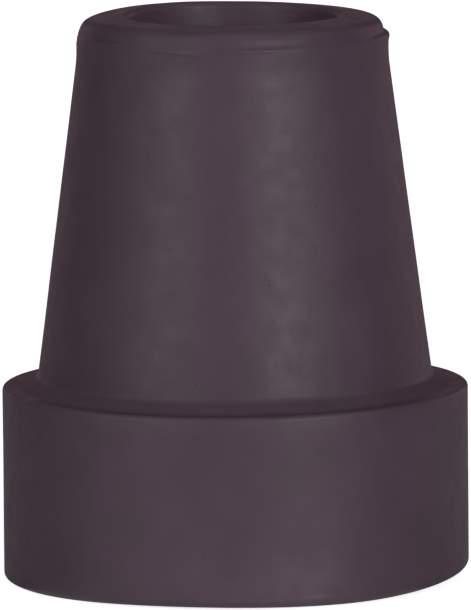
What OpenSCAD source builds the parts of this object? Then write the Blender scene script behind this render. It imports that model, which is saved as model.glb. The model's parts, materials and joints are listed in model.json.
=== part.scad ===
// Rubber tip for a walking cane: a wide tread base with a tapered sleeve above it.
// The sleeve grips the cane's shaft, and the whole tip is one moulding of solid rubber.
// Units are millimetres. The origin is the centre of the sole, on the floor, and +Z is up the cane.

/* [Base] */
// Outside diameter of the base
base_d = 42; // [41:0.5:46]
// Height of the base, from the floor to its shoulder
base_h = 17.4; // [14:0.2:20]
// Radius of the edge between the sole and the base wall
sole_edge_r = 0.7; // [0.4:0.1:1.6]
// Radius of the edge between the base wall and the shoulder
shoulder_edge_r = 0.4; // [0.2:0.1:0.8]

/* [Sleeve] */
// Diameter of the sleeve where its taper meets the shoulder
sleeve_foot_d = 35.8; // [33:0.2:36]
// Diameter of the sleeve at the top of its taper
sleeve_top_d = 28.1; // [27.6:0.1:30]
// Radius of the fillet between the shoulder and the sleeve
foot_fillet_r = 1.8; // [0.5:0.1:1.8]

/* [Rim] */
// Height of the whole tip
total_h = 51; // [48:0.5:56]
// Height of the crown, from the mould's parting line to the top of the rim
crown_h = 1.5; // [1.3:0.1:2.5]
// Height of the straight land between the taper and the parting line
land_h = 2.5; // [1:0.1:4]
// Radius of the land's edge at the parting line
land_edge_r = 0.3; // [0.1:0.1:0.8]
// How far the crown is set in from the land at the parting line
crown_step = 0.35; // [0.1:0.05:0.6]
// Radius of the crown's outer edge
crown_edge_r = 1.4; // [0.8:0.1:1.5]
// Slope of the crown's top face, which rises towards the mouth
crown_slope = 7.5; // [3:0.5:10]
// Radius of the edge around the mouth
mouth_edge_r = 0.6; // [0.2:0.1:0.8]

/* [Socket] */
// Diameter of the cane shaft that the socket takes
shaft_d = 19; // [16:0.5:20]
// Depth of the socket, from the top of the rim to its floor
socket_depth = 38; // [30:0.5:40]
// Radius of the corner between the socket's wall and its floor
socket_floor_r = 1; // [0.5:0.1:2]

/* [Tread] */
// Number of ring grooves in the sole
groove_count = 4; // [2:1:4]
// Width of a groove at the sole
groove_w = 2.2; // [1.6:0.1:2.4]
// Depth of a groove
groove_depth = 2; // [1:0.1:3]
// Draft angle of a groove's walls
groove_draft = 8; // [2:1:10]
// Diameter of the round pad inside the smallest groove
centre_pad_d = 4.4; // [3:0.2:6]

/* [Hidden] */
$fn = 180;

// How far a sloping line cuts into an arc that it runs into, so that no hairline gap is left.
bite = 0.0002;

base_r = base_d / 2;
foot_r = sleeve_foot_d / 2;
land_r = sleeve_top_d / 2;
socket_r = shaft_d / 2;
parting_z = total_h - crown_h;
land_z = parting_z - land_h;
socket_floor_z = total_h - socket_depth;

// The sleeve's taper is measured from the vertical, and the fillet's circle touches it.
taper = atan2(foot_r - land_r, land_z - base_h);
fillet_reach = foot_fillet_r - bite;
fillet_x = foot_r + fillet_reach * (1 - sin(taper)) / cos(taper);
fillet_centre = [fillet_x, base_h + fillet_reach];
fillet_top = fillet_centre - fillet_reach * [cos(taper), sin(taper)];

// From the mouth's edge, the crown's top face slopes down to the crown's outer edge.
crown_r = land_r - crown_step;
slope_normal = [sin(crown_slope), cos(crown_slope)];
mouth_centre = [socket_r + mouth_edge_r, total_h - mouth_edge_r];
slope_top = mouth_centre + (mouth_edge_r - bite) * slope_normal;
crown_x = crown_r - crown_edge_r;
slope_z = slope_top.y - (crown_x - slope_top.x) * tan(crown_slope);
crown_centre = [crown_x, slope_z - (crown_edge_r - bite) / cos(crown_slope)];
slope_foot = crown_centre + (crown_edge_r - bite) * slope_normal;

// The grooves and the ridges outside them share the flat of the sole evenly.
pad_r = centre_pad_d / 2;
groove_pitch = (base_r - sole_edge_r - pad_r) / groove_count;

// Half of an upright disc's section, from z0 to z1, with a rounded corner at its bottom and top.
module disc_section(r, z0, z1, bottom_r = 0, top_r = 0) {
    translate([0, z0 + bottom_r])
        square([r, z1 - z0 - bottom_r - top_r]);
    if (bottom_r > 0) {
        translate([0, z0])
            square([r - bottom_r, z1 - z0 - top_r]);
        translate([r - bottom_r, z0 + bottom_r])
            circle(bottom_r);
    }
    if (top_r > 0) {
        translate([0, z0 + bottom_r])
            square([r - top_r, z1 - z0 - bottom_r]);
        translate([r - top_r, z1 - top_r])
            circle(top_r);
    }
}

module base_section() {
    disc_section(base_r, 0, base_h, sole_edge_r, shoulder_edge_r);
}

module sleeve_section() {
    polygon([[0, base_h / 2], [foot_r, base_h / 2], [foot_r, base_h], [land_r, land_z], [0, land_z]]);
    difference() {
        polygon([[0, base_h / 2], [fillet_x, base_h / 2], fillet_centre, fillet_top, [0, fillet_top.y]]);
        translate(fillet_centre)
            circle(foot_fillet_r);
    }
    disc_section(land_r, land_z, parting_z, 0, land_edge_r);
}

module crown_section() {
    root_z = parting_z - land_h / 2;
    polygon([
        [0, root_z],
        [crown_r, root_z],
        [crown_r, crown_centre.y],
        slope_foot,
        slope_top,
        [socket_r, mouth_centre.y],
        [0, mouth_centre.y]
    ]);
    translate(crown_centre)
        circle(crown_edge_r);
    translate(mouth_centre)
        circle(mouth_edge_r);
}

module socket_section() {
    disc_section(socket_r, socket_floor_z, total_h, socket_floor_r, 0);
}

// One groove's section, with its inner wall at radius r, narrowing upwards by its draft.
module groove_section(r) {
    inset = groove_depth * tan(groove_draft);
    polygon([
        [r, 0],
        [r + groove_w, 0],
        [r + groove_w - inset, groove_depth],
        [r + inset, groove_depth]
    ]);
}

module cane_tip() {
    color([0.26, 0.203, 0.243])
        rotate_extrude()
            difference() {
                union() {
                    base_section();
                    sleeve_section();
                    crown_section();
                }
                socket_section();
                for (i = [0 : groove_count - 1])
                    groove_section(pad_r + i * groove_pitch);
            }
}

cane_tip();
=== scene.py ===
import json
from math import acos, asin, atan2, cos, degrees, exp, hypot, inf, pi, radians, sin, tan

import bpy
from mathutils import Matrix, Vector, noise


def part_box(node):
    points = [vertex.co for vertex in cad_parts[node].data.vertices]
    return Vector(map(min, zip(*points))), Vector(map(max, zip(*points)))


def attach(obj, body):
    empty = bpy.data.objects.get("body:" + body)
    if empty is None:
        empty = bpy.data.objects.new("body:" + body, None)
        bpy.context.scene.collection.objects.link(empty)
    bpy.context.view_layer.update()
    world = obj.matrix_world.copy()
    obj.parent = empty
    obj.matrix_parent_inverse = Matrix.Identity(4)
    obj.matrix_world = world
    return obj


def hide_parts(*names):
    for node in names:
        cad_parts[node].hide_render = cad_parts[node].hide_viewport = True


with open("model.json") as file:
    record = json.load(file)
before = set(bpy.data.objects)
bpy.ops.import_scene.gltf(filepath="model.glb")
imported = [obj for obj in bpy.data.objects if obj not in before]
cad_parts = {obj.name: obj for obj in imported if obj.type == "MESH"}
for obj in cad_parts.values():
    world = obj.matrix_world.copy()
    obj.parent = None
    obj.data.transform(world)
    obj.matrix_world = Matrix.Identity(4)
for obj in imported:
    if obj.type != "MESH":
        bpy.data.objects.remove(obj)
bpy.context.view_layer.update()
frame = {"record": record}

# A rubber cane tip, moulded in one piece: a wide base, a tapered sleeve and a socket for the cane's shaft.
# The CAD solid gives its sizes. This script models the moulding's skin in its place, with the mismatch and
# the ragged parting line that the mould leaves at the rim, and lights it in a small white studio.
# Names that end in _MM, _M, _DEG and _RAD are in millimetres, metres, degrees and radians. Blender gets
# metres. An azimuth is measured round the tip from the side that faces the camera, towards the right.

MM = 0.001

# ---------------------------------------------------------------- sizes
# From the CAD model
BASE_RADIUS_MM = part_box("cane_tip")[1].x / MM
HEIGHT_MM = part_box("cane_tip")[1].z / MM
SOCKET_RADIUS_MM = frame["record"]["mounts"][0]["dims"]["r_mm"]

# What the CAD model holds but the frame doesn't say. The size of an edge or of a corner is its radius.
BASE_HEIGHT_MM = 17.4
SOLE_EDGE_MM = 0.7
SHOULDER_EDGE_MM = 0.4
SLEEVE_FOOT_RADIUS_MM = 17.9
LAND_RADIUS_MM = 14.05
LAND_HEIGHT_MM = 2.5
LAND_EDGE_MM = 0.3
CROWN_HEIGHT_MM = 1.5
CROWN_STEP_MM = 0.35
CROWN_EDGE_MM = 1.4
CROWN_SLOPE_DEG = 7.5
MOUTH_EDGE_MM = 0.6
SOCKET_DEPTH_MM = 38.0
SOCKET_CORNER_MM = 1.0
GROOVE_COUNT = 4
GROOVE_WIDTH_MM = 2.2
GROOVE_DEPTH_MM = 2.0
GROOVE_DRAFT_DEG = 8.0
PAD_RADIUS_MM = 2.2

GROOVE_PITCH_MM = (BASE_RADIUS_MM - SOLE_EDGE_MM - PAD_RADIUS_MM) / GROOVE_COUNT
PARTING_MM = HEIGHT_MM - CROWN_HEIGHT_MM
LAND_FOOT_MM = PARTING_MM - LAND_HEIGHT_MM
TAPER_DEG = degrees(atan2(SLEEVE_FOOT_RADIUS_MM - LAND_RADIUS_MM, LAND_FOOT_MM - BASE_HEIGHT_MM))

# ---------------------------------------------------------------- how the moulding departs from the drawing
# The fillet at the sleeve's foot: the radii of its two arcs, and the length and the steepness of the slope
# between them
FILLET_ABOVE_MM = 0.8
FILLET_BELOW_MM = 1.6
FILLET_FLAT_MM = 1.1
FILLET_FLAT_DEG = 60

# The radius of the bend between the taper and the land, how much the crown's radius grew, and how far and
# towards which azimuth the crown is shifted
BEND_RADIUS_MM = 12.0
CROWN_GROWTH_MM = 0.1
CROWN_SHIFT_MM = 0.2
CROWN_SHIFT_DEG = -128

# What varies round the tip: values at azimuths in degrees, with smooth steps between them
SOLE_WEAR_MM = [(-58, 0), (-13, 0.17), (27, 0.06), (94, 0.8), (170, 0)]
SOLE_EDGE_CHANGE_MM = [(-75, -0.15), (-20, 0), (100, 0)]
SHOULDER_SHIFT_MM = [(-90, 0.04), (-20, -0.12), (25, -0.06), (75, 0.09), (180, 0)]
PARTING_SHIFT_MM = [(-90, -0.35), (-50, 0), (0, -0.06), (90, -0.18), (180, -0.1)]
LIP_MM = [(-90, -0.06), (-40, 0), (50, 0), (90, 0.1), (150, 0)]
LEDGE_FILL = [(-92, 0.4), (-65, 1), (0, 1), (12, 0.88), (22, 0.88), (35, 1), (60, 1), (84, 0)]
CROWN_LIFT_MM = [
    (-145, 0.1), (-100, -0.05), (-70, -0.03), (-35, 0), (5, 0.09), (30, 0.09), (90, -0.02), (175, -0.02),
]
CROWN_EDGE_CHANGE_MM = [
    (-90, 0.1), (-50, 0.1), (-24, -0.4), (-6, -0.85), (2, -0.85),
    (18, -0.5), (55, -0.3), (90, -0.2), (180, 0),
]
CROWN_SLOPE_CHANGE_DEG = [(-90, 0), (-58, -6), (-38, -6), (-20, -3.2), (20, -3.5), (70, 0)]

# Where the shoulder's shift grows and fades, as heights above the floor
SHOULDER_RISE_MM = (14, 17)
SHOULDER_FALL_MM = (18, 24)

# Where the parting line's shift grows and fades and the crown's lift grows, as heights above that line
PARTING_RISE_MM = (-1.2, 0)
PARTING_FALL_MM = (0.1, 0.9)
LIFT_RISE_MM = (0, 0.8)

# The land's lip is a bulge below the parting line. As heights above that line: the bulge's middle, how far
# it spreads, where it sets in, and where it is cut off.
LIP_MIDDLE_MM = -0.35
LIP_SPREAD_MM = 0.45
LIP_RISE_MM = (-2.2, -0.6)
LIP_TOP_MM = 0.01

# The parting line also wanders. The wander is noise, read along a circle: a larger circle gives it more
# turns, and another plane gives it another course.
WANDER_MM = 0.09
WANDER_CIRCLE = 3
WANDER_PLANE = 0.5

# The skin waves a little from the start height up. Below it the sole stands true on the floor.
SKIN_WAVE_MM = 0.02
SKIN_WAVE_LENGTH_MM = 7.0
SKIN_WAVE_START_MM = 2 * SOLE_EDGE_MM

# Lines of torn flash on the front, as azimuths in degrees and heights above the parting line. Nothing of
# them is left beyond the two reaches, round the land from the front and up or down from the parting line.
FLASH_LINES = [
    [(-37, -0.1), (-31, -0.3), (-21, -0.45), (-14, -0.6)],
    [(-6, -0.3), (3, -0.25), (9, -0.17), (15, -0.15)],
    [(-1, 0.38), (8.8, 0.45), (19.4, 0.55)],
]
FLASH_HEIGHT_MM = 0.045
FLASH_WIDTH_MM = 0.2
FLASH_REACH_ROUND_MM = 14
FLASH_REACH_UP_MM = 1.5

# The mesh: the section is swept round this many meridians, and edges above this angle are shaded sharp
MERIDIANS = 576
SHARP_DEG = 40

# How many steps each stretch of the section is divided into, from the sole's edge up to the mouth and down
# into the socket
SOLE_EDGE_STEPS = 9
BASE_WALL_STEPS = 13
SHOULDER_EDGE_STEPS = 5
SHOULDER_STEPS = 3
FILLET_BELOW_STEPS = 7
FILLET_FLAT_STEPS = 2
FILLET_ABOVE_STEPS = 9
TAPER_STEPS = 24
BEND_STEPS = 6
LAND_STEPS = 16
LAND_EDGE_STEPS = 5
LEDGE_STEPS = 2
CROWN_EDGE_STEPS = 20
CROWN_TOP_STEPS = 5
MOUTH_EDGE_STEPS = 9
SOCKET_WALL_STEPS = 12
SOCKET_CORNER_STEPS = 6


# ---------------------------------------------------------------- sections
# A section is a list of points, each a radius and a height in millimetres.
def arc(centre, radius, start_deg, end_deg, steps):
    """Points along an arc. 0 degrees points outwards and 90 up, and a negative radius turns this round."""
    turn = (end_deg - start_deg) / steps
    angles = [radians(start_deg + turn * i) for i in range(steps + 1)]
    return [(centre[0] + radius * cos(a), centre[1] + radius * sin(a)) for a in angles]


def between(start, end, steps):
    """Points that divide a straight line into steps, without its two ends."""
    parts = [i / steps for i in range(1, steps)]
    return [(start[0] + (end[0] - start[0]) * t, start[1] + (end[1] - start[1]) * t) for t in parts]


def joined(*stretches):
    """One section from its stretches, given in turn with the step counts of the lines between them."""
    points = list(stretches[0])
    for steps, stretch in zip(stretches[1::2], stretches[2::2]):
        points += between(points[-1], stretch[0], steps)
        points += stretch
    return points


def share(value, low, high):
    """0 below low, 1 above high, and a smooth step between them."""
    t = min(max((value - low) / (high - low), 0), 1)
    return t * t * (3 - 2 * t)


def varied(azimuth, places):
    """The value at an azimuth, from values given at places round the tip."""
    start, value = places[-1]
    start -= 360
    here = degrees(azimuth)
    while here >= places[-1][0]:
        here -= 360
    for end, next_value in places:
        if here < end:
            return value + (next_value - value) * share(here, start, end)
        start, value = end, next_value


def sole_section():
    """The sole from its middle outwards: a pad, then a groove and a ridge in turn."""
    depth = GROOVE_DEPTH_MM
    inset = depth * tan(radians(GROOVE_DRAFT_DEG))
    points = []
    for i in range(GROOVE_COUNT):
        inner = PAD_RADIUS_MM + i * GROOVE_PITCH_MM
        outer = inner + GROOVE_WIDTH_MM
        points += [(inner, 0), (inner + inset, depth), (outer - inset, depth), (outer, 0)]
    return points


def base_section(azimuth):
    """The base's wall, from the sole's edge, which is worn to a bevel, up to the shoulder's edge."""
    wear = varied(azimuth, SOLE_WEAR_MM)
    sole_edge = SOLE_EDGE_MM + varied(azimuth, SOLE_EDGE_CHANGE_MM)
    bevel = degrees(atan2(wear, GROOVE_PITCH_MM - GROOVE_WIDTH_MM))
    sole_centre = (BASE_RADIUS_MM - sole_edge, wear + sole_edge)
    shoulder_centre = (BASE_RADIUS_MM - SHOULDER_EDGE_MM, BASE_HEIGHT_MM - SHOULDER_EDGE_MM)
    return joined(
        arc(sole_centre, sole_edge, bevel - 90, 0, SOLE_EDGE_STEPS),
        BASE_WALL_STEPS,
        arc(shoulder_centre, SHOULDER_EDGE_MM, 0, 90, SHOULDER_EDGE_STEPS),
    )


def foot_fillet():
    """The fillet between the shoulder and the sleeve: an arc, a short slope and a tighter arc."""
    flat, taper = radians(FILLET_FLAT_DEG), radians(TAPER_DEG)
    rise = FILLET_BELOW_MM - (FILLET_BELOW_MM - FILLET_ABOVE_MM) * sin(flat) + FILLET_FLAT_MM * cos(flat)
    inset = FILLET_FLAT_MM * sin(flat) + (FILLET_BELOW_MM - FILLET_ABOVE_MM) * cos(flat)
    touch = FILLET_ABOVE_MM / cos(taper) - rise * tan(taper)
    above = (SLEEVE_FOOT_RADIUS_MM + touch, BASE_HEIGHT_MM + rise)
    below = (above[0] + inset, BASE_HEIGHT_MM + FILLET_BELOW_MM)
    return joined(
        arc(below, FILLET_BELOW_MM, -90, FILLET_FLAT_DEG - 180, FILLET_BELOW_STEPS),
        FILLET_FLAT_STEPS,
        arc(above, FILLET_ABOVE_MM, FILLET_FLAT_DEG - 180, TAPER_DEG - 180, FILLET_ABOVE_STEPS),
    )


def sleeve_section(land_centre):
    """The sleeve, from its fillet up the taper and the land to the land's edge."""
    bend_reach = BEND_RADIUS_MM * tan(radians(TAPER_DEG) / 2)
    bend_centre = (LAND_RADIUS_MM + BEND_RADIUS_MM, LAND_FOOT_MM + bend_reach)
    return joined(
        foot_fillet(),
        TAPER_STEPS,
        arc(bend_centre, -BEND_RADIUS_MM, TAPER_DEG, 0, BEND_STEPS),
        LAND_STEPS,
        arc(land_centre, LAND_EDGE_MM, 0, 90, LAND_EDGE_STEPS),
    )


def fill_ledge(points, land_centre, crown_centre, crown_edge, amount):
    """Moves the points of the crown's ledge out towards the line that touches the land and the crown."""
    across, up = crown_centre[0] - land_centre[0], crown_centre[1] - land_centre[1]
    slant = atan2(up, across) - acos((LAND_EDGE_MM - crown_edge) / hypot(across, up))
    normal = (cos(slant), sin(slant))
    low, high = land_centre[1] + LAND_EDGE_MM * normal[1], crown_centre[1] + crown_edge * normal[1]
    filled = []
    for r, z in points:
        gap = (land_centre[0] - r) * normal[0] + (land_centre[1] - z) * normal[1] + LAND_EDGE_MM
        reach = amount * gap if r > crown_centre[0] and low < z < high else 0
        filled.append((r + reach * normal[0], z + reach * normal[1]))
    return filled


def outside_section(azimuth):
    """The outside, from the sole's edge up to the mouth of the socket."""
    slope_deg = CROWN_SLOPE_DEG + varied(azimuth, CROWN_SLOPE_CHANGE_DEG)
    slope = radians(slope_deg)
    mouth_centre = (SOCKET_RADIUS_MM + MOUTH_EDGE_MM, HEIGHT_MM - MOUTH_EDGE_MM)
    slope_top = (mouth_centre[0] + MOUTH_EDGE_MM * sin(slope), mouth_centre[1] + MOUTH_EDGE_MM * cos(slope))
    crown_edge = CROWN_EDGE_MM + varied(azimuth, CROWN_EDGE_CHANGE_MM)
    crown_shift = CROWN_SHIFT_MM * cos(azimuth - radians(CROWN_SHIFT_DEG))
    crown_x = LAND_RADIUS_MM - CROWN_STEP_MM + CROWN_GROWTH_MM + crown_shift - crown_edge
    crown_z = slope_top[1] - (crown_x - slope_top[0]) * tan(slope) - crown_edge / cos(slope)
    crown_centre = (crown_x, crown_z)
    crown_foot_deg = degrees(asin(max(0, PARTING_MM - crown_z) / crown_edge))
    land_centre = (LAND_RADIUS_MM - LAND_EDGE_MM, PARTING_MM - LAND_EDGE_MM)
    points = joined(
        base_section(azimuth),
        SHOULDER_STEPS,
        sleeve_section(land_centre),
        LEDGE_STEPS,
        arc(crown_centre, crown_edge, crown_foot_deg, 90 - slope_deg, CROWN_EDGE_STEPS),
        CROWN_TOP_STEPS,
        arc(mouth_centre, MOUTH_EDGE_MM, 90 - slope_deg, 180, MOUTH_EDGE_STEPS),
    )
    return fill_ledge(points, land_centre, crown_centre, crown_edge, varied(azimuth, LEDGE_FILL))


def socket_section():
    """The socket's wall, from below its mouth, and the corner of its floor."""
    wall_top = (SOCKET_RADIUS_MM, HEIGHT_MM - MOUTH_EDGE_MM)
    corner_centre = (SOCKET_RADIUS_MM - SOCKET_CORNER_MM, HEIGHT_MM - SOCKET_DEPTH_MM + SOCKET_CORNER_MM)
    corner = arc(corner_centre, SOCKET_CORNER_MM, 0, -90, SOCKET_CORNER_STEPS)
    return between(wall_top, corner[0], SOCKET_WALL_STEPS) + corner


# ---------------------------------------------------------------- unevenness of the skin
def distance_to_line(point, line):
    """Distance from a point to a line of several points, on a plane."""
    nearest = inf
    for (x0, y0), (x1, y1) in zip(line, line[1:]):
        dx, dy = x1 - x0, y1 - y0
        t = ((point[0] - x0) * dx + (point[1] - y0) * dy) / (dx * dx + dy * dy)
        t = min(max(t, 0), 1)
        nearest = min(nearest, hypot(point[0] - x0 - t * dx, point[1] - y0 - t * dy))
    return nearest


def flash(azimuth, above_parting):
    """Height of the torn flash on the rim's outside."""
    round_the_land = ((azimuth + pi) % (2 * pi) - pi) * LAND_RADIUS_MM
    if abs(round_the_land) > FLASH_REACH_ROUND_MM or abs(above_parting) > FLASH_REACH_UP_MM:
        return 0
    height = 0
    for flash_line in FLASH_LINES:
        unrolled = [(radians(a) * LAND_RADIUS_MM, z) for a, z in flash_line]
        distance = distance_to_line((round_the_land, above_parting), unrolled)
        height = max(height, exp(-((distance / FLASH_WIDTH_MM) ** 2)))
    return height * FLASH_HEIGHT_MM


def uneven(radius, z, azimuth):
    """Moves a point of the section as the mould's mismatch moved the shoulder, the land and the crown."""
    above = z - PARTING_MM
    if radius > SOCKET_RADIUS_MM + MOUTH_EDGE_MM:
        if above <= LIP_TOP_MM:
            lip = exp(-(((above - LIP_MIDDLE_MM) / LIP_SPREAD_MM) ** 2)) * share(above, *LIP_RISE_MM)
            radius += varied(azimuth, LIP_MM) * lip
        radius += flash(azimuth, above)
        on_circle = Vector((WANDER_CIRCLE * cos(azimuth), WANDER_CIRCLE * sin(azimuth), WANDER_PLANE))
        near_parting = share(above, *PARTING_RISE_MM) * (1 - share(above, *PARTING_FALL_MM))
        z += near_parting * (WANDER_MM * noise.noise(on_circle) + varied(azimuth, PARTING_SHIFT_MM))
    near_shoulder = share(z, *SHOULDER_RISE_MM) * (1 - share(z, *SHOULDER_FALL_MM))
    z += near_shoulder * varied(azimuth, SHOULDER_SHIFT_MM)
    z += share(above, *LIFT_RISE_MM) * varied(azimuth, CROWN_LIFT_MM)
    return radius, z


def skin_wave(radius, z, azimuth):
    """The slight unevenness of a soft moulding, as a radial offset."""
    place = Vector((radius * sin(azimuth), -radius * cos(azimuth), z)) / SKIN_WAVE_LENGTH_MM
    return SKIN_WAVE_MM * noise.noise(place)


def moulding():
    """The whole skin as one closed mesh, from the sole's middle round to that of the socket's floor."""
    sole, socket = sole_section(), socket_section()
    vertices = []
    for m in range(MERIDIANS):
        azimuth = 2 * pi * m / MERIDIANS
        outside = [uneven(r, z, azimuth) for r, z in outside_section(azimuth)]
        for radius, z in sole + outside + socket:
            if z > SKIN_WAVE_START_MM:
                radius += skin_wave(radius, z, azimuth)
            vertices.append((radius * sin(azimuth) * MM, -radius * cos(azimuth) * MM, z * MM))
    rings = len(vertices) // MERIDIANS
    faces = []
    for m in range(MERIDIANS):
        here, there = m * rings, (m + 1) % MERIDIANS * rings
        for i in range(rings - 1):
            faces.append((here + i, there + i, there + i + 1, here + i + 1))
    faces.append([m * rings for m in reversed(range(MERIDIANS))])
    faces.append([m * rings + rings - 1 for m in range(MERIDIANS)])
    mesh = bpy.data.meshes.new("rubber_tip")
    mesh.from_pydata(vertices, [], faces)
    mesh.shade_smooth()
    mesh.set_sharp_from_angle(angle=radians(SHARP_DEG))
    piece = bpy.data.objects.new("rubber_tip", mesh)
    bpy.context.scene.collection.objects.link(piece)
    return piece


# ---------------------------------------------------------------- materials
RUBBER_DARK = (0.051, 0.0315, 0.0457)
RUBBER_LIGHT = (0.059, 0.037, 0.0534)
RUBBER_ROUGHNESS = (0.45, 0.55)
RUBBER_SPECULAR = 0.2
CLOUD_MM = 5.0
CLOUD_DETAIL = 4.0
DIMPLE_MM = 1.8
DIMPLE_DEPTH_MM = 0.05
GRAIN_MM = 0.35
GRAIN_DEPTH_MM = 0.006
BUMP_DETAIL = 2.0

# A speck is dark all over its core, which is a share of its radius, and fades from there to its edge.
SPECK_DARK = (0.038, 0.024, 0.034)
SPECK_SPACING_MM = 1.6
SPECK_RADIUS_MM = 0.13
SPECK_CORE = 0.4
SPECK_DEPTH_MM = 0.015

# Places of painted highlight near the sole's edge, a lighter colour that stands in for light reflected
# there: the middle and half the size of each in millimetres, and its strength.
# A place has its full strength in a core, which is a share of its size, and noise makes its outline ragged.
# The colour of the painted highlight: the rubber's light tone made paler.
RUBBER_PAINTED_HIGHLIGHT = (0.088, 0.0555, 0.0797)
PAINTED_HIGHLIGHT_PLACES = [
    ((6.5, -20.0, 2.0), (4.8, 4.8, 3.1), 0.42),
    ((7.4, -19.65, 1.03), (2.0, 2.0, 0.34), 1.0),
]
PAINTED_HIGHLIGHT_CORE = 0.1
PAINTED_HIGHLIGHT_RAGGEDNESS = 0.6

# Most of a noise texture's values lie in this range.
NOISE_RANGE = (0.3, 0.7)


def object_coordinates(tree):
    """The place on the object that is being shaded, in metres."""
    node = tree.nodes.get("coordinates") or tree.nodes.new("ShaderNodeTexCoord")
    node.name = "coordinates"
    return node.outputs["Object"]


def texture(tree, kind, size_mm, **settings):
    """A texture node whose features are about the given size on the object."""
    node = tree.nodes.new(kind)
    for name, value in settings.items():
        node.inputs[name].default_value = value
    node.inputs["Scale"].default_value = 1 / (size_mm * MM)
    tree.links.new(object_coordinates(tree), node.inputs["Vector"])
    return node


def ranged(tree, value, start, end, low, high):
    """Maps a value from start...end to low...high."""
    node = tree.nodes.new("ShaderNodeMapRange")
    node.inputs["From Min"].default_value = start
    node.inputs["From Max"].default_value = end
    node.inputs["To Min"].default_value = low
    node.inputs["To Max"].default_value = high
    tree.links.new(value, node.inputs["Value"])
    return node.outputs["Result"]


def calculated(tree, operation, first, second):
    """The output of a Math node that takes the outputs of two other nodes."""
    node = tree.nodes.new("ShaderNodeMath")
    node.operation = operation
    tree.links.new(first, node.inputs[0])
    tree.links.new(second, node.inputs[1])
    return node.outputs["Value"]


def vector_calculated(tree, operation, vector, constant=(0, 0, 0)):
    """The output of a Vector Math node, whose second vector is a constant that a length doesn't use."""
    node = tree.nodes.new("ShaderNodeVectorMath")
    node.operation = operation
    tree.links.new(vector, node.inputs[0])
    node.inputs[1].default_value = constant
    return node.outputs["Value" if operation == "LENGTH" else "Vector"]


def mixed_colour(tree, share_of_second, first, second):
    """Mixes two colours; each is a colour or the output of a node."""
    node = tree.nodes.new("ShaderNodeMix")
    node.data_type = "RGBA"
    tree.links.new(share_of_second, node.inputs["Factor"])
    for socket, colour in ((node.inputs["A"], first), (node.inputs["B"], second)):
        if isinstance(colour, tuple):
            socket.default_value = (*colour, 1)
        else:
            tree.links.new(colour, socket)
    return node.outputs["Result"]


def mixed_shader(tree, share_of_second, first, second):
    """Mixes the outputs of two shader nodes."""
    node = tree.nodes.new("ShaderNodeMixShader")
    tree.links.new(share_of_second, node.inputs["Fac"])
    tree.links.new(first, node.inputs[1])
    tree.links.new(second, node.inputs[2])
    return node.outputs["Shader"]


def bumped(tree, height, depth_mm, normal=None):
    """Adds a bump of the given depth to a normal."""
    node = tree.nodes.new("ShaderNodeBump")
    node.inputs["Distance"].default_value = depth_mm * MM
    tree.links.new(height, node.inputs["Height"])
    if normal:
        tree.links.new(normal, node.inputs["Normal"])
    return node.outputs["Normal"]


def painted_highlight_amount(tree, noise_value):
    """How much painted highlight each point gets: each place's strength in its core, falling to 0 at a
    ragged outline.
    """
    ragged = ranged(tree, noise_value, *NOISE_RANGE, -PAINTED_HIGHLIGHT_RAGGEDNESS / 2, PAINTED_HIGHLIGHT_RAGGEDNESS / 2)
    most = None
    for middle, half_size, strength in PAINTED_HIGHLIGHT_PLACES:
        offset = vector_calculated(tree, "SUBTRACT", object_coordinates(tree), Vector(middle) * MM)
        scaled = vector_calculated(tree, "DIVIDE", offset, Vector(half_size) * MM)
        distance = calculated(tree, "ADD", vector_calculated(tree, "LENGTH", scaled), ragged)
        highlighted = ranged(tree, distance, PAINTED_HIGHLIGHT_CORE, 1, strength, 0)
        most = calculated(tree, "MAXIMUM", most, highlighted) if most else highlighted
    return most


def rubber():
    """Moulded rubber: clouded colour, dimples that vary its gloss, fine grain, specks and a painted
    highlight near the sole's edge.
    """
    material = bpy.data.materials.new("rubber")
    material.use_nodes = True
    tree = material.node_tree
    clouds = texture(tree, "ShaderNodeTexNoise", CLOUD_MM, Detail=CLOUD_DETAIL).outputs["Fac"]
    dimples = texture(tree, "ShaderNodeTexNoise", DIMPLE_MM, Detail=BUMP_DETAIL).outputs["Fac"]
    grain = texture(tree, "ShaderNodeTexNoise", GRAIN_MM, Detail=BUMP_DETAIL).outputs["Fac"]
    cells = texture(tree, "ShaderNodeTexVoronoi", SPECK_SPACING_MM).outputs["Distance"]
    speck_edge = SPECK_RADIUS_MM / SPECK_SPACING_MM
    specks = ranged(tree, cells, SPECK_CORE * speck_edge, speck_edge, 1, 0)
    clouded = mixed_colour(tree, ranged(tree, clouds, *NOISE_RANGE, 0, 1), RUBBER_DARK, RUBBER_LIGHT)
    # The clouded colour gets a painted highlight near the sole's edge, lighter where light would be
    # reflected there.
    highlighted = mixed_colour(tree, painted_highlight_amount(tree, dimples), clouded, RUBBER_PAINTED_HIGHLIGHT)
    normal = bumped(tree, dimples, DIMPLE_DEPTH_MM)
    normal = bumped(tree, grain, GRAIN_DEPTH_MM, normal)
    normal = bumped(tree, specks, -SPECK_DEPTH_MM, normal)
    shader = tree.nodes["Principled BSDF"]
    shader.inputs["Specular IOR Level"].default_value = RUBBER_SPECULAR
    tree.links.new(mixed_colour(tree, specks, highlighted, SPECK_DARK), shader.inputs["Base Color"])
    tree.links.new(ranged(tree, dimples, *NOISE_RANGE, *RUBBER_ROUGHNESS), shader.inputs["Roughness"])
    tree.links.new(normal, shader.inputs["Normal"])
    return material


# ---------------------------------------------------------------- world and floor
# The world is white to camera and transmission rays only. To all other rays it has this strength. White to
# glossy rays as well, it would turn the shoulder and the rim's top face far too pale.
WORLD_STRENGTH = 0.01

# The floor is grey. To the camera it also glows, by the first amount near the tip and by the second further
# out, and is white except in the tip's soft shadow.
FLOOR_HALF_M = 3.0
FLOOR_GAP_MM = 0.02
FLOOR_GREY = (0.69, 0.69, 0.69, 1)
FLOOR_GLOW = (0.8, 1.0)
FLOOR_GLOW_REACH_M = (0.1, 0.5)


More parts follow.
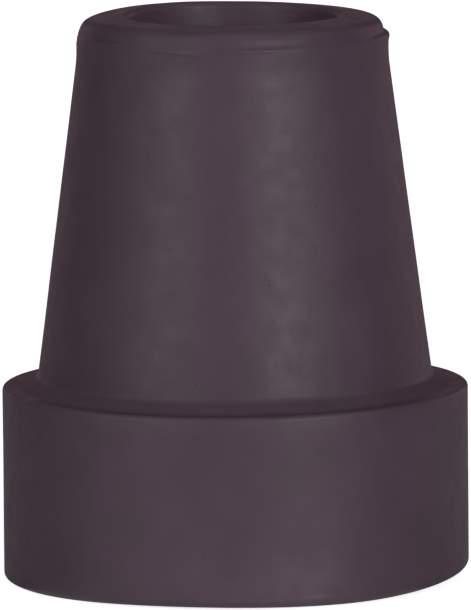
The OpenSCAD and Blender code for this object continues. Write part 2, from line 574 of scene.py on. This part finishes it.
def setup_world():
    """A world that is nearly black to the rubber and white to the camera."""
    world = bpy.data.worlds.new("studio")
    bpy.context.scene.world = world
    world.use_nodes = True
    tree = world.node_tree
    tree.nodes.clear()
    path = tree.nodes.new("ShaderNodeLightPath")
    seen = calculated(tree, "MAXIMUM", path.outputs["Is Camera Ray"], path.outputs["Is Transmission Ray"])
    ambient = tree.nodes.new("ShaderNodeBackground")
    ambient.inputs["Strength"].default_value = WORLD_STRENGTH
    white = tree.nodes.new("ShaderNodeBackground")
    white.inputs["Color"].default_value = (1, 1, 1, 1)
    out = tree.nodes.new("ShaderNodeOutputWorld")
    mixed = mixed_shader(tree, seen, ambient.outputs["Background"], white.outputs["Background"])
    tree.links.new(mixed, out.inputs["Surface"])


def floor_material():
    """Plain grey to the rubber, and the same grey with a glow to the camera."""
    material = bpy.data.materials.new("floor")
    material.use_nodes = True
    tree = material.node_tree
    tree.nodes.clear()
    diffuse = tree.nodes.new("ShaderNodeBsdfDiffuse")
    diffuse.inputs["Color"].default_value = FLOOR_GREY
    grey = diffuse.outputs["BSDF"]
    distance = vector_calculated(tree, "LENGTH", object_coordinates(tree))
    glow = tree.nodes.new("ShaderNodeEmission")
    tree.links.new(ranged(tree, distance, *FLOOR_GLOW_REACH_M, *FLOOR_GLOW), glow.inputs["Strength"])
    both = tree.nodes.new("ShaderNodeAddShader")
    tree.links.new(grey, both.inputs[0])
    tree.links.new(glow.outputs["Emission"], both.inputs[1])
    path = tree.nodes.new("ShaderNodeLightPath")
    mixed = mixed_shader(tree, path.outputs["Is Camera Ray"], grey, both.outputs["Shader"])
    out = tree.nodes.new("ShaderNodeOutputMaterial")
    tree.links.new(mixed, out.inputs["Surface"])
    return material


def setup_floor():
    """A square floor, just below the sole so that the two don't share a plane."""
    half = FLOOR_HALF_M
    corners = [(-half, -half, 0), (half, -half, 0), (half, half, 0), (-half, half, 0)]
    mesh = bpy.data.meshes.new("floor")
    mesh.from_pydata(corners, [], [(0, 1, 2, 3)])
    mesh.materials.append(floor_material())
    floor = bpy.data.objects.new("floor", mesh)
    floor.location.z = -FLOOR_GAP_MM * MM
    bpy.context.scene.collection.objects.link(floor)


# ---------------------------------------------------------------- camera
# The height of the photograph, and the size in it of a millimetre at the place that the camera aims at
FRAME_HEIGHT_PX = 610
PX_PER_MM = 11.09
SENSOR_MM = 36.0
CAMERA_DISTANCE_MM = 1241.0
CAMERA_PITCH_RAD = 0.1362
CAMERA_ROLL_RAD = -0.0079
AIM_MM = Vector((0.092, 0.0, 24.56))

# Nothing in the scene is further than this from the camera
CLIP_END_M = 10


def setup_camera():
    """The photograph's view: from the front, a little above, and turned by a very small roll."""
    data = bpy.data.cameras.new("camera")
    data.sensor_width = SENSOR_MM
    data.lens = PX_PER_MM * CAMERA_DISTANCE_MM / FRAME_HEIGHT_PX * SENSOR_MM
    data.clip_end = CLIP_END_M
    camera = bpy.data.objects.new("camera", data)
    bpy.context.scene.collection.objects.link(camera)
    bpy.context.scene.camera = camera
    forward = Vector((0, cos(CAMERA_PITCH_RAD), -sin(CAMERA_PITCH_RAD)))
    right = Vector((1, 0, 0))
    up = right.cross(forward)
    turned_right = right * cos(CAMERA_ROLL_RAD) + up * sin(CAMERA_ROLL_RAD)
    turned_up = up * cos(CAMERA_ROLL_RAD) - right * sin(CAMERA_ROLL_RAD)
    place = (AIM_MM - forward * CAMERA_DISTANCE_MM) * MM
    axes = Matrix((turned_right, turned_up, -forward)).transposed()
    camera.matrix_world = Matrix.Translation(place) @ axes.to_4x4()


# ---------------------------------------------------------------- lights
WHITE = (1.0, 1.0, 1.0)
ROSE = (1.0, 0.62, 0.72)
UP = Vector((0, 0, 1))
LIT_MM = Vector((0, 0, 30))
SOFTBOX_DISTANCE_MM = 600

# Softboxes round the tip: a name, then an azimuth, an elevation, a width and a height in degrees as the tip
# sees them, then a radiance and a colour
SOFTBOXES = [
    ("right_softbox", 30, 13, 15, 10, 34.4, WHITE),
    ("right_fill_softbox", 42, 13, 10, 30, 4.1, WHITE),
    ("left_softbox", -42, 13, 20, 10, 17.2, WHITE),
    ("high_left_softbox", -60, 42, 25, 26, 2.35, WHITE),
    ("high_right_softbox", 60, 42, 25, 26, 1.55, WHITE),
    ("top_softbox", 180, 84, 50, 50, 0.55, WHITE),
    ("high_back_softbox", 180, 42, 25, 26, 0.35, ROSE),
    ("back_right_softbox", 135, 12, 36, 26, 0.84, ROSE),
    ("back_softbox", 180, 12, 20, 26, 0.3, ROSE),
    ("back_left_softbox", -148, 12, 27, 26, 0.62, ROSE),
]

# Cards just above the floor, which light the base from below: a name, a middle, a width and a depth in
# millimetres, then a radiance and a shape
CARDS = [
    ("bounce_card", (0, -34, 0.5), 55, 24, 0.36, "RECTANGLE"),
    ("foot_card", (-0.5, -2.5, 0.1), 38.6, 46, 0.3, "ELLIPSE"),
]


def area_light(name, place_mm, towards, width_mm, tall_mm, radiance, colour, shape="RECTANGLE"):
    """A flat light that the camera doesn't see."""
    data = bpy.data.lights.new(name, "AREA")
    data.shape = shape
    data.size = width_mm * MM
    data.size_y = tall_mm * MM
    area = data.size * data.size_y * (pi / 4 if shape == "ELLIPSE" else 1)
    data.energy = radiance * pi * area
    data.color = colour
    light = bpy.data.objects.new(name, data)
    bpy.context.scene.collection.objects.link(light)
    light.location = place_mm * MM
    light.rotation_mode = "QUATERNION"
    light.rotation_quaternion = towards.to_track_quat("-Z", "Y")
    light.visible_camera = False


def softbox(name, azimuth_deg, elevation_deg, wide_deg, tall_deg, radiance, colour):
    """A softbox that faces the tip and fills the given angles as the tip sees it."""
    a, e = radians(azimuth_deg), radians(elevation_deg)
    outwards = Vector((sin(a) * cos(e), -cos(a) * cos(e), sin(e)))
    place = LIT_MM + outwards * SOFTBOX_DISTANCE_MM
    width = 2 * SOFTBOX_DISTANCE_MM * tan(radians(wide_deg / 2))
    tall = 2 * SOFTBOX_DISTANCE_MM * tan(radians(tall_deg / 2))
    area_light(name, place, -outwards, width, tall, radiance, colour)


# ---------------------------------------------------------------- the scene
setup_camera()
tip = moulding()
tip.data.materials.append(rubber())
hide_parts("cane_tip")
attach(tip, "root")
setup_world()
setup_floor()
for settings in SOFTBOXES:
    softbox(*settings)
for name, middle, width, depth, radiance, shape in CARDS:
    area_light(name, Vector(middle), UP, width, depth, radiance, WHITE, shape)

bpy.context.scene.view_settings.view_transform = "Standard"
